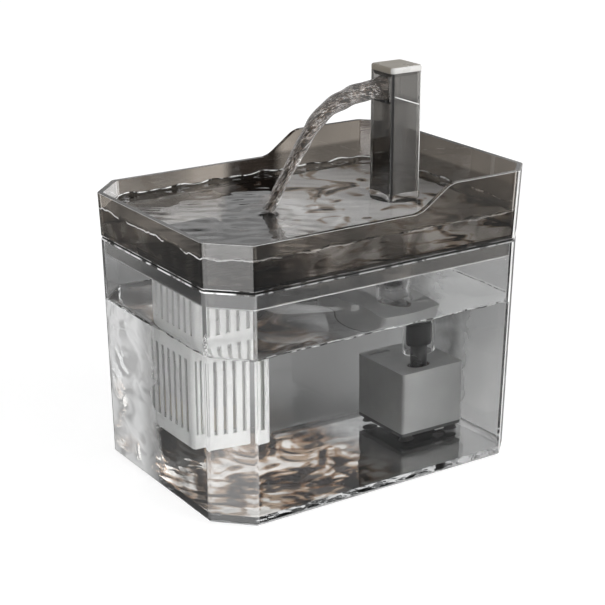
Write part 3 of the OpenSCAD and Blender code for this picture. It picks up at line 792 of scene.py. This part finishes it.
def pool(name, low, high, inset, cell, height):
    """A body of water with leaning sides and a gridded, rippled surface, that is drawn up at the walls."""
    half = grown(TANK_HALF, inset(low))
    rest_all()
    bpy.ops.mesh.primitive_grid_add(x_subdivisions=round(2 * half[0] / cell),
                                    y_subdivisions=round(2 * half[1] / cell), size=2, location=(0, 0, low))
    bpy.context.object.scale = (*half, 1)
    water = named(name)
    for sx, sy in ((-1, -1), (-1, 1), (1, -1), (1, 1)):
        on = Vector((sx * (half[0] - chamfer_at(sx, inset(low))), sy * half[1], low))
        with editing(water, "FACE"):
            pick_all()
            bpy.ops.mesh.bisect(plane_co=on, plane_no=Vector((sx, sy, 0)).normalized(),
                                clear_outer=True, use_fill=False)
    with editing(water, "FACE"):
        pick_all()
        push(0, 0, high - low)
        widen(*scaled(half, grown(TANK_HALF, inset(high))))
    with editing(water, "EDGE"):
        fill_and_turn_out(water)
    for vertex in water.data.vertices:
        if near(vertex.co.z, high):
            at_wall = max(0, inset_of(vertex.co) - inset(high))
            vertex.co.z += height(vertex.co.x, vertex.co.y) + MENISCUS * math.exp(-at_wall / (1.2 * MM))
    return water


def wear_water(water, finish, side):
    """Where water touches a wall there is no film of air: its sides and underside don't bend light."""
    smooth(water, 40, weighted=False)
    wear(water, finish)
    paint(water, side, lambda f: f.normal.z < -0.9 or abs(f.normal.z) < 0.1
          and inset_of(f.center) < (40 * MM if f.center.x < 0 else 8 * MM))


def make_tank_water(finish, side):
    def height(x, y):
        from_riser = max(0, math.hypot(x - SPOUT[0], y) - RISER_R)
        return (0.6 * MM * math.sin(x / (9 * MM) + 1.3 * math.sin(y / (17 * MM)))
                + 0.55 * MM * math.sin(y / (8 * MM) + 1.1 * math.sin(x / (13 * MM)))
                + 0.8 * MM * math.exp(-from_riser / (3 * MM)))

    # The water wets the floor: their surfaces overlap slightly, so no film of air mirrors there
    water = pool("tank_water", TANK_FLOOR - 0.1 * MM, TANK_WATER, tank_inset, 2.5 * MM, height)
    wear_water(water, finish, side)
    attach(water, "tank_unit")


def make_tray_water(finish, side):
    def height(x, y):
        away = math.hypot(x - LANDING[0], y - LANDING[1])
        rings = math.cos(away / (1.75 * MM)) * math.exp(-away / (30 * MM))
        splash = math.exp(-(away / (5 * MM)) ** 2)
        cross = math.sin(x / (5 * MM) + 1.2 * math.sin(y / (11 * MM))) * math.sin(y / (7 * MM))
        # Long low waves that run askew to the walls
        u, v = 0.834 * x - 0.552 * y, 0.552 * x + 0.834 * y
        swell = math.sin(u / (9 * MM) + 2 * math.sin(y / (23 * MM))) * math.sin(
            v / (1.6 * MM) + 1.7 * math.sin(u / (14 * MM)))
        by_column = math.exp(-max(0, math.hypot(x - SPOUT[0], y) - 12 * MM) / (2.5 * MM))
        return (0.14 * MM * rings + 0.8 * MM * splash + 0.12 * MM * cross + 0.09 * MM * swell
                + 0.8 * MM * by_column)

    low = TRAY_FLOOR + WATER_GAP
    water = pool("tray_water", low, TRAY_WATER, tray_inset, 1.6 * MM, height)
    cut(water, rounded_post("column_room", (COLUMN_W + 2 * WATER_GAP,) * 2, 2.6 * MM,
                            low + 1 * MM, 160 * MM))
    wear_water(water, finish, side)
    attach(water, "tray_unit")


def drawn_tube(name, kind, points, thick, rings, capped=False, **settings):
    """A tube along a line; each of its points is a place and a share of the thickness."""
    rest_all()
    bpy.ops.curve.primitive_bezier_curve_add()
    path = bpy.context.object
    path.location = (0, 0, 0)
    path.data.splines.clear()
    line = path.data.splines.new(kind)
    line.points.add(len(points) - 1)
    for point, (place, radius) in zip(line.points, points):
        point.co, point.radius = (*place, 1), radius
    for key, value in settings.items():
        setattr(line, key, value)
    path.data.bevel_depth, path.data.bevel_resolution, path.data.use_fill_caps = thick, rings, capped
    take(path)
    bpy.ops.object.convert(target="MESH")
    return named(name)


def make_waterline(name, finish, body, inset, level, thick, wander):
    """The glinting lip of water along the walls, where the surface curls up."""
    half, corners, points = grown(TANK_HALF, inset), [], []
    for sx, sy in ((-1, -1), (1, -1), (1, 1), (-1, 1)):
        leg = chamfer_at(sx, inset)
        ends = [(sx * half[0], sy * (half[1] - leg)), (sx * (half[0] - leg), sy * half[1])]
        corners += ends if sx * sy > 0 else ends[::-1]
    for (x0, y0), (x1, y1) in zip(corners, corners[1:] + corners[:1]):
        steps = max(1, round(math.hypot(x1 - x0, y1 - y0) / (3 * MM)))
        for i in range(steps):
            x, y = x0 + (x1 - x0) * i / steps, y0 + (y1 - y0) * i / steps
            wave = math.sin(x / (4.7 * MM) + y / (3.1 * MM)) + math.sin(x / (2.9 * MM) - y / (6.3 * MM) + 1)
            points.append(((x, y, level + wander * wave),
                           1 + 0.3 * math.sin(x / (3.7 * MM) + y / (5.3 * MM))))
    lip = drawn_tube(name, "POLY", points, thick, 1, use_cyclic_u=True)
    smooth(lip, 60, weighted=False)
    wear(lip, finish)
    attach(lip, body)


# The stream's middle line, seen from the side: X, Z and radius in millimetres. It drifts sideways to
# its landing from this X on, over this run.
DRIFT_FROM, DRIFT_RUN = 52, 80
STREAM = [(57, 207.4, 6.0), (50, 207.6, 6.2), (44, 207.6, 5.9), (38, 207.0, 5.6), (28, 205.4, 5.3),
          (18, 202.6, 5.0), (10, 198.6, 4.7), (3.5, 192.6, 4.3), (-1.8, 186, 3.9), (-7.5, 178.2, 3.6),
          (-13.5, 169.5, 3.3), (-19, 161.2, 3.1), (-23.6, 154, 3.0), (-27, 148.4, 3.6)]


def flow_at(line, point):
    """The way run along a line of points and round it, at the place nearest to a point."""
    nearest, run = 1, 0
    for a, b in zip(line, line[1:]):
        step = b - a
        t = max(0, min(1, (point - a).dot(step) / step.length_squared))
        out = point - (a + t * step)
        if out.length < nearest:
            nearest, along = out.length, run + t * step.length
            side = step.cross(Vector((0, 1, 0))).normalized()
            angle = math.atan2(out.y, out.dot(side)) + along / (16 * MM)
        run += step.length
    return along / (12 * MM), 1.5 * math.cos(angle), 1.5 * math.sin(angle)


def make_stream(finish):
    line = [Vector((x * MM, LANDING[1] * (DRIFT_FROM - x) / DRIFT_RUN, z * MM)) for x, z, radius in STREAM]
    points = [(place, radius) for place, (x, z, radius) in zip(line, STREAM)]
    stream = drawn_tube("stream", "NURBS", points, MM, 7, capped=True,
                        use_endpoint_u=True, order_u=4, resolution_u=8)
    with editing(stream, "VERT"):
        pick_all()
        bpy.ops.mesh.remove_doubles(threshold=TINY)
    # The finish follows the flow, which runs along the jet and turns round it
    flow = stream.data.attributes.new("flow", "FLOAT_VECTOR", "POINT")
    for vertex in stream.data.vertices:
        flow.data[vertex.index].vector = flow_at(line, vertex.co)
    # Ropes of water stand out at the outlet and fade as it falls
    for vertex in stream.data.vertices:
        x, y, z = vertex.co
        strength = (0.3 + 0.7 * max(0, min(1, (x + 10 * MM) / (50 * MM)))
                    + 1.2 * max(0, min(1, (x - 38 * MM) / (10 * MM))))
        wave = (math.sin(x / (2.3 * MM) + y / (1.9 * MM)) + math.sin(z / (1.7 * MM) - y / (2.6 * MM))
                + math.sin(x / (4.1 * MM) - y / (3.1 * MM) + 1.0))
        vertex.co += vertex.normal * (0.32 * MM * strength * wave)
    smooth(stream, 80, weighted=False)
    wear(stream, finish)
    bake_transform(stream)


# ---------------------------------------------------------------- spout

def make_column(shell, front):
    column = rounded_post("column_shell", (COLUMN_W,) * 2, COLUMN_ROUND, COLUMN_FOOT, CAP_Z)
    cut(column, rounded_post("column_room", (COLUMN_ROOM,) * 2, 1 * MM, COLUMN_FOOT + 2 * MM,
                             CAP_Z + 1 * MM))
    cut(column, rod("duct_hole", DUCT_HOLE, COLUMN_FOOT - 1 * MM, COLUMN_FOOT + 3 * MM))
    cut(column, block("window", (SPOUT[0] - COLUMN_W, -OUTLET_W / 2, OUTLET_Z),
                      (SPOUT[0], OUTLET_W / 2, OUTLET_Z + OUTLET_H)))
    soften(column, 0.3 * MM)
    turning = lambda f: abs(f.normal.z) < 0.1 and 0.15 < abs(f.normal.x) < 0.985
    wear(column, shell)
    # Painted light and shade: a lighter copy of the smoke on the near face, a painted highlight on the
    # spout side's rounded corners and a painted shadow on the drinking side's
    paint(column, front, lambda f: f.normal.y < -0.98 and f.center.y < -8 * MM)
    paint(column, HIGHLIGHT_EDGE, lambda f: turning(f) and f.normal.x > 0 and f.center.x > SPOUT[0] + 8 * MM
          and 0.35 < abs(f.normal.y) < 0.95)
    paint(column, SEAM_SHADOW, lambda f: turning(f) and f.normal.x < 0 and f.center.x < SPOUT[0] - 8 * MM
          and 0.6 < abs(f.normal.y) < 0.95)
    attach(column, "spout_unit")
    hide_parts("spout_column")


def make_ledge(finish):
    """The sloping ledge set into the column, which turns the rising water to the outlet."""
    reach, front = 8.5 * MM, COLUMN_W / 2 + 0.03 * MM
    ledge = block("spout_ledge", (SPOUT[0] - reach, -front, LEDGE_Z[0]),
                  (SPOUT[0] + reach, -7.4 * MM, LEDGE_Z[1]))
    with editing(ledge, "VERT"):
        pick(ledge, "VERT", lambda v: v.co.x > SPOUT[0])
        bpy.ops.transform.translate(value=(0, 0, -LEDGE_FALL))
    soften(ledge, 0.1 * MM)
    wear(ledge, finish)
    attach(ledge, "spout_unit")


def make_cap(finish, edge):
    cap = rounded_post("cap_plate", (COLUMN_W,) * 2, COLUMN_ROUND, CAP_Z + 0.05 * MM, CAP_TOP)
    bevel_edges(cap, lambda e: level_edge(e, CAP_TOP), 1.0 * MM, 3)
    combine(cap, rounded_post("cap_plug", (PLUG_W,) * 2, 1 * MM, *PLUG_Z), "UNION")
    soften(cap, 0.25 * MM)
    wear(cap, finish)
    # Painted highlight: a paler copy of the plastic on the faces towards the front
    paint(cap, edge, lambda f: f.normal.y < -0.3 and f.center.z > CAP_Z and abs(f.normal.x) < 0.9)
    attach(cap, "spout_unit")
    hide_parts("spout_cap")


def turned(name, profile):
    """A body turned about the spout's axis from radius and height pairs."""
    rest_all()
    bpy.ops.mesh.primitive_circle_add(vertices=64, radius=profile[0][0], location=(0, 0, profile[0][1]))
    piece = named(name)
    with editing(piece, "EDGE"):
        pick_all()
        for (r0, z0), (r1, z1) in zip(profile, profile[1:]):
            push(0, 0, z1 - z0)
            widen(r1 / r0, r1 / r0)
        pick_all()
        bpy.ops.mesh.remove_doubles(threshold=TINY)
        fill_and_turn_out(piece)
    piece.location = (*SPOUT, 0)
    return settle(piece)


def make_riser(dry, wet):
    """The clear tube under the tray: as seen in air above the water line, and in water below it."""
    (low, high), edge = RISER_Z, 0.6 * MM
    tube = turned("riser_shell", [
        (RISER_R - edge, low), (RISER_R, low + edge), (RISER_R, TANK_WATER), (RISER_R, high - edge),
        (RISER_R - edge, high), (RISER_BORE, high), (RISER_BORE, TANK_WATER), (RISER_BORE, low),
        (RISER_R - edge, low)])
    smooth(tube)
    wear(tube, dry)
    paint(tube, wet, lambda f: f.center.z < TANK_WATER)
    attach(tube, "spout_unit")
    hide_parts("riser_tube")


def make_rising_water(finish):
    bore = RISER_BORE - WATER_GAP
    water = turned("rising_water", [(bore, TANK_WATER + 1.2 * MM), (bore, DUCT_Z[0]),
                                    (DUCT_BORE, DUCT_Z[1]), (DUCT_BORE, DUCT_Z[2])])
    smooth(water)
    wear(water, finish)
    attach(water, "spout_unit")


# ---------------------------------------------------------------- studio

# Where the light comes from, the ranges in which it turns, and its levels
LIGHT_FROM = (0.75, -0.75, -0.1)
LIGHT_SPAN = (0.12, 1.5)
KEY_FROM = (0.55, -0.8, 0.22)
KEY_EDGE = (0.85, 0.97)
KEY_LEVEL = 8.0
SKY_TURN = (0.12, 0.25)
SKY_IN_GLASS = (0.4, 0.6)
SKY_OVERHEAD = 0.2
ROOM_SHAPES = (7.0, 1.0)
ROOM_LEVELS = (0.02, 1.0)
WORLD_GREY = 0.8
FLOOR_WHITE = 0.84
FLOOR_GLASS = (0.0, 0.4)
FLOOR_FALLOFF = (-0.05, 0.16)
FLOOR_FAR = (0.40, 0.47)
FLOOR_FAR_WHITE = 0.75
CAMERA_AT, CAMERA_AIM = (-0.477, -0.716, 0.390), (0, 0.0042, 0.0883)
SENSOR, LENS = 36, 95.35
# Place, aim, width and power
KEY_LAMP = (0.7, -0.8, 0.45), (0, 0, 0.08), 0.8, 2
FILL_LAMP = (-0.7, -0.35, 0.3), (-0.09, 0, 0.08), 0.4, 3.4


def stand(name, data, place, aim):
    """Puts a camera or a lamp in the scene and turns it to what it aims at."""
    thing = bpy.data.objects.new(name, data)
    bpy.context.scene.collection.objects.link(thing)
    thing.location = place
    thing.rotation_mode = "QUATERNION"
    thing.rotation_quaternion = (Vector(aim) - Vector(place)).to_track_quat("-Z", "Y")
    return thing


def make_camera():
    data = bpy.data.cameras.new("camera")
    data.sensor_width, data.lens = SENSOR, LENS
    data.clip_start, data.clip_end = 0.01, 50
    bpy.context.scene.camera = stand("camera", data, CAMERA_AT, CAMERA_AIM)


def make_lamp(name, place, aim, size, power):
    data = bpy.data.lights.new(name, "AREA")
    data.shape, data.size, data.energy = "DISK", size, power
    stand(name, data, place, aim)


def make_world():
    """White behind the object and in its glass, and a softer, slanting light on its surfaces."""
    world = bpy.data.worlds.new("studio")
    bpy.context.scene.world = world
    world.use_nodes = True
    w = Nodes(world.node_tree, "Generated")
    rays = w.add("ShaderNodeLightPath").outputs
    facing = lambda direction: w.vector("DOT_PRODUCT", w.place, Vector(direction).normalized())
    # Light falls from the front and the spout side, and little comes from the drinking end;
    # the key light is a large soft patch low on the spout side
    lit = w.math("ADD", w.span(facing(LIGHT_FROM), -0.7, 0.9, *LIGHT_SPAN),
                 w.span(facing(KEY_FROM), *KEY_EDGE, 0.0, KEY_LEVEL, "SMOOTHSTEP"))
    # What mirrors: white to the sides, and the bright and dark shapes of a room overhead,
    # so ripples glint and darken by their slope
    up = w.axis("Z")
    room = w.span(w.noise(*ROOM_SHAPES), 0.45, 0.56, *ROOM_LEVELS)
    mirrored = w.mix("FLOAT", w.span(up, *SKY_TURN), 1.0, room)
    # Through glass the white reaches higher
    seen = w.mix("FLOAT", rays["Is Transmission Ray"], mirrored,
                 w.span(up, *SKY_IN_GLASS, 1.0, SKY_OVERHEAD))
    level = w.mix("FLOAT", w.seen_rays(rays), lit, seen)
    # To the camera the background is plain white
    strength = w.mix("FLOAT", rays["Is Camera Ray"], level, 1 / WORLD_GREY)
    ground = w.wire(w.add("ShaderNodeBackground"), 0, Color=(WORLD_GREY,) * 3, Strength=strength)
    w.put(w.add("ShaderNodeOutputWorld").inputs["Surface"], ground)


def make_floor():
    rest_all()
    bpy.ops.mesh.primitive_plane_add(size=8, location=(0, 0, -0.2 * MM))
    floor = named("studio_floor")
    f = Finish("studio_paper")
    f.set(Base_Color=f.tone(f.noise(3), (0.21,) * 3, (0.23,) * 3), Roughness=0.6)
    rays = f.add("ShaderNodeLightPath").outputs
    # The eye gets most of the white. In glass the floor shows a painted glow, which falls off away from the
    # light as painted shade near the object, and is back well away from the object
    towards = f.vector("DOT_PRODUCT", f.place, Vector((*LIGHT_FROM[:2], 0)).normalized())
    white = f.math("MAXIMUM", f.span(towards, *FLOOR_FALLOFF, *FLOOR_GLASS),
                   f.span(f.vector("LENGTH", f.place), *FLOOR_FAR, 0.0, FLOOR_FAR_WHITE))
    level = f.mix("FLOAT", rays["Is Camera Ray"], f.math("MULTIPLY", rays["Is Transmission Ray"], white),
                  FLOOR_WHITE)
    glow = f.wire(f.add("ShaderNodeEmission"), 0, Strength=f.math("MULTIPLY", f.seen_rays(rays), level))
    f.put(f.surface, f.wire(f.add("ShaderNodeAddShader"), 0, f.shader.outputs[0], glow))
    wear(floor, f.material)


# ---------------------------------------------------------------- assembly

make_camera()
make_world()
make_lamp("key_lamp", *KEY_LAMP)
make_lamp("fill_lamp", *FILL_LAMP)
make_floor()

make_tank(
    shell=clear("clear_acrylic", (0.97, 0.975, 0.975), IN_AIR, wave=0.05 * MM, wave_scale=22),
    wet=clear("wet_acrylic", (0.97, 0.975, 0.975), IN_WATER),
    cloudy=clear("cloudy_acrylic", (0.97, 0.97, 0.97), IN_AIR, haze=0.16),
    shaded_side=clear("shaded_acrylic", (0.45, 0.45, 0.45), IN_AIR, vary=0.15),
    rippled=rippled_wall(),
    bed=tank_bed(),
    underside=clear("tank_underside", (0.97, 0.97, 0.97), IN_AIR, wave=0.25 * MM, wave_scale=70))
# The tray's sides get lit and shaded copies of its smoke, as painted light and shade; the chamfers get the
# lighter corner smoke
SMOKE, LIT_CORNER_SMOKE = (0.2, 0.178, 0.155), (0.76, 0.75, 0.74)
make_tray(
    shell=clear("smoky_acrylic", SMOKE, IN_AIR, vary=0.75, wave=0.06 * MM, wave_scale=28, drift_scale=12,
                stretch=(1, 1, 0.3), shaded=True, shade_streak_tint=SHADE_STREAK_TINT),
    wet=clear("wet_smoky_acrylic", shade(SMOKE, 1.5), IN_WATER, vary=0.75, drift_scale=12,
              stretch=(1, 1, 0.3)),
    near_side=smoky_front("smoky_front", SMOKE, shade(SMOKE, 3.0), 0.0, 0.3),
    end=smoky_front("smoky_end", shade(SMOKE, 1.2), shade(SMOKE, 4.4), 0.02, 1.0),
    near_wet=wet_front(),
    far_end=clear("shaded_smoky_far_side", shade(SMOKE, 0.5), IN_AIR, vary=0.4, drift_scale=12, shaded=True,
                  shade_streak_tint=SHADE_STREAK_TINT),
    bed=tray_bed(),
    corner=smoky_front("smoky_corner", shade(LIT_CORNER_SMOKE, 0.85), shade(LIT_CORNER_SMOKE, 1.1), 0.2, 0.5),
    wet_corner=clear("wet_smoky_corner", LIT_CORNER_SMOKE, IN_WATER, vary=0.15),
    far_corner=clear("shaded_smoky_far_corner", (0.08, 0.06, 0.045), IN_AIR, vary=0.3))
SIDE = clear("touching_water", (0.985, 0.99, 0.99), 1.0)
make_tank_water(clear("tank_water", (0.98, 0.985, 0.985), WATER), SIDE)
# The tray's water also gets the band of painted shade
make_tray_water(clear("tray_water", (0.93, 0.92, 0.91), WATER, shade_streak_tint=(0.1, 0.09, 0.085), coat=0.35),
                SIDE)
make_stream(falling_water())
GLINT = glinting("glinting_water", (0.03, 0.025, 0.02), 160, WATER, 0.25)
make_waterline("tray_waterline", GLINT, "tray_unit", tray_inset(TRAY_WATER) + WATER_GAP,
               TRAY_WATER + 1.3 * MM, 0.4 * MM, 0.45 * MM)
make_waterline("tank_waterline", GLINT, "tank_unit", tank_inset(TANK_WATER) + 0.15 * MM,
               TANK_WATER + 0.9 * MM, 0.3 * MM, 0.2 * MM)
make_column(
    shell=clear("smoky_column", (0.3, 0.29, 0.275), IN_AIR, vary=0.45, wave=0.05 * MM, wave_scale=30,
                haze=0.02, stretch=(1, 1, 0.15)),
    front=clear("lit_column_front", (0.4, 0.39, 0.375), IN_AIR, vary=0.3, haze=0.15, stretch=(1, 1, 0.5)))
make_ledge(moulded("pale_ledge", (0.6, 0.6, 0.59), 0.3))
make_riser(clear("clear_tube", (0.9, 0.9, 0.9), IN_AIR),
           clear("clear_tube_wet", (0.95, 0.95, 0.95), IN_WATER))
make_rising_water(clear("rising_water", (0.96, 0.96, 0.96), WATER))
make_cap(moulded("taupe_plastic", (0.29, 0.26, 0.215), 0.3), moulded("cap_highlight", (0.47, 0.465, 0.45), 0.3))

# The solids that are carried over: name of the finish, colour, gloss and, where they differ, grain
MOULDED = {
    "tank_feet": ("grey_rubber", (0.25, 0.26, 0.27), 0.7),
    "tray_grommet": ("black_rubber", (0.015, 0.015, 0.015), 0.6),
    "filter_holder": ("dark_plastic", (0.016, 0.013, 0.011), 0.35),
    "filter_cage": ("white_plastic", (0.95, 0.95, 0.935), 0.3, 0.02 * MM, 900, 0.02),
    "filter_frame": ("white_frame_plastic", (0.5, 0.5, 0.48), 0.4),
    "filter_cotton": ("cotton", (0.95, 0.95, 0.93), 0.9, 0.3 * MM, 400, 0.03),
    "filter_carbon": ("wrapped_carbon", (0.6, 0.59, 0.57), 0.7, 0.5 * MM, 500, 0.1),
    "filter_resin": ("resin", (0.72, 0.66, 0.55), 0.4, 0.4 * MM, 600),
    "spout_lip": ("black_plastic", (0.012, 0.012, 0.012), 0.3),
    "pump_housing": ("grey_plastic", (0.31, 0.31, 0.305), 0.45),
    "pump_base": ("dark_grey_plastic", (0.05, 0.05, 0.05), 0.5),
    "intake_sponge": ("sponge", (0.03, 0.03, 0.03), 0.95, 0.6 * MM, 500),
    "flow_slider": ("pale_plastic", (0.5, 0.5, 0.48), 0.4),
    "pump_body": ("motor_plastic", (0.02, 0.02, 0.022), 0.45),
    "stator_core": ("steel_plates", (0.35, 0.36, 0.38), 0.35),
    "stator_coil": ("copper_winding", (0.5, 0.18, 0.07), 0.3),
    "pump_potting": ("potting_resin", (0.04, 0.04, 0.045), 0.2),
    "front_bush": ("ceramic_bush", (0.7, 0.67, 0.62), 0.3),
    "rotor_shaft": ("ceramic_shaft", (0.85, 0.84, 0.81), 0.15),
    "impeller": ("white_impeller_plastic", (0.75, 0.75, 0.72), 0.3),
    "rotor_magnet": ("ferrite", (0.05, 0.05, 0.055), 0.5),
    "outlet_seal": ("red_rubber", (0.03, 0.008, 0.006), 0.6),
}
SAME = {"cage_collar": "filter_cage", "frame_top": "filter_frame", "filter_cover": "filter_holder",
        "suction_cups": "tray_grommet", "pump_cover": "pump_body", "rear_bush": "front_bush",
        "outlet_pipe": "spout_lip", "pump_coupler": "tray_grommet", "cable_gland": "tray_grommet"}
FINISHES = {node: moulded(*look) for node, look in MOULDED.items()}
FINISHES["spout_channel"] = clear("smoky_duct", (0.6, 0.58, 0.56), IN_AIR)
for node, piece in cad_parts.items():
    finish = FINISHES.get(SAME.get(node, node))
    if finish:
        wear(piece, finish)

cycles = bpy.context.scene.cycles
cycles.max_bounces = 32
cycles.transmission_bounces = 28
cycles.glossy_bounces = 10
cycles.diffuse_bounces = 3
cycles.transparent_max_bounces = 16
bpy.context.scene.view_settings.view_transform = "Standard"
